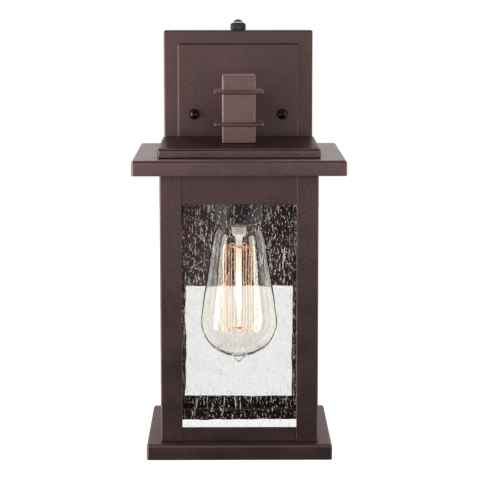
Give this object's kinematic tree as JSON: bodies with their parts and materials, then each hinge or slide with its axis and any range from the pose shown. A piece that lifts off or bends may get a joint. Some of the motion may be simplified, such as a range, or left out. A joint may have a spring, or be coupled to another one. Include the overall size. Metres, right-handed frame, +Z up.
{
  "type": "outdoor wall lantern",
  "caption": "Square wall lantern with seeded glass panes, stepped roof, open pan base, square arm to a back plate with a photocell, and a screw-in filament bulb.",
  "frame": {"origin": "on the wall plane, at the middle of the mounting bars, level with the two ball nuts", "axes": "+Z up, +Y into the wall, +X to the viewer's right when facing the lantern's front"},
  "size_m": [0.171, 0.2095, 0.3519],
  "materials": {
    "bronze_paint": "satin oil-rubbed bronze paint with a fine metallic speckle",
    "seeded_glass": "clear glass with long seeds and a slight ripple",
    "spring_steel": "plain spring steel",
    "zinc_steel": "zinc plated",
    "green_screw": "green passivated",
    "copper": "bare copper",
    "black_insulation": "satin insulation",
    "white_insulation": "satin insulation",
    "black_moulding": "moulded, half gloss",
    "rubber": "matte",
    "sensor_lens": "smoky translucent moulding",
    "brass": "plain pressed brass",
    "bulb_glass": "clear glass with a faint amber tint",
    "clear_glass": "clear fire-polished glass",
    "cap_metal": "bright rolled shell",
    "black_glass": "black vitrite",
    "tin": "solder, dull",
    "support_wire": "bare molybdenum wire",
    "filament": "glowing carbon strand"
  },
  "bodies": {
    "fixture": {"arm_nipple": "zinc_steel", "arm_nut": "zinc_steel", "arm_post": "bronze_paint", "arm_tube": "bronze_paint", "back_plate": "bronze_paint", "ball_nut_left": "bronze_paint", "ball_nut_right": "bronze_paint", "base": "bronze_paint", "bottom_rail_front": "bronze_paint", "bottom_rail_left": "bronze_paint", "bottom_rail_rear": "bronze_paint", "bottom_rail_right": "bronze_paint", "corner_post_front_left": "bronze_paint", "corner_post_front_right": "bronze_paint", "corner_post_rear_left": "bronze_paint", "corner_post_rear_right": "bronze_paint", "fin_lower": "bronze_paint", "fin_upper": "bronze_paint", "glass_clip_front": "spring_steel", "glass_clip_left": "spring_steel", "glass_clip_rear": "spring_steel", "glass_clip_right": "spring_steel", "glass_front": "seeded_glass", "glass_left": "seeded_glass", "glass_rear": "seeded_glass", "glass_right": "seeded_glass", "ground_screw": "green_screw", "ground_wire": "copper", "lead_black": "black_insulation", "lead_white": "white_insulation", "lock_nut_lower": "zinc_steel", "lock_nut_upper": "zinc_steel", "mounting_stud_left": "zinc_steel", "mounting_stud_right": "zinc_steel", "photocell_body": "black_moulding", "photocell_gasket": "rubber", "photocell_lens": "sensor_lens", "photocell_nut": "black_moulding", "roof": "bronze_paint", "roof_cap": "bronze_paint", "roof_nipple": "zinc_steel", "roof_spacer": "zinc_steel", "socket_body": "black_moulding", "socket_contact": "brass", "socket_shell": "brass", "socket_strap": "zinc_steel", "stud_bar": "zinc_steel", "top_rail_front": "bronze_paint", "top_rail_left": "bronze_paint", "top_rail_rear": "bronze_paint", "top_rail_right": "bronze_paint", "wall_bar": "zinc_steel"},
    "bulb_carrier": {"bulb_contact": "tin"},
    "bulb": {"bulb_glass": "bulb_glass", "bulb_cap": "cap_metal", "bulb_insulator": "black_glass", "bulb_stem": "clear_glass", "filament_support_lower": "support_wire", "filament_support_upper": "support_wire", "filament": "filament"}
  },
  "joints": [
    {"name": "bulb_drop", "type": "slide", "parent": "fixture", "child": "bulb_carrier", "axis": [0, 0, -1], "range_m": [0, 0.01815]},
    {"name": "bulb_turn", "type": "hinge", "parent": "bulb_carrier", "child": "bulb", "pos_m": [0, -0.124, -0.1], "axis": [0, 0, -1], "range_deg": [0, 1800]}
  ],
  "couplings": [
    {"joint": "bulb_drop", "follows": "bulb_turn", "m_per_rad": 0.0005776}
  ]
}
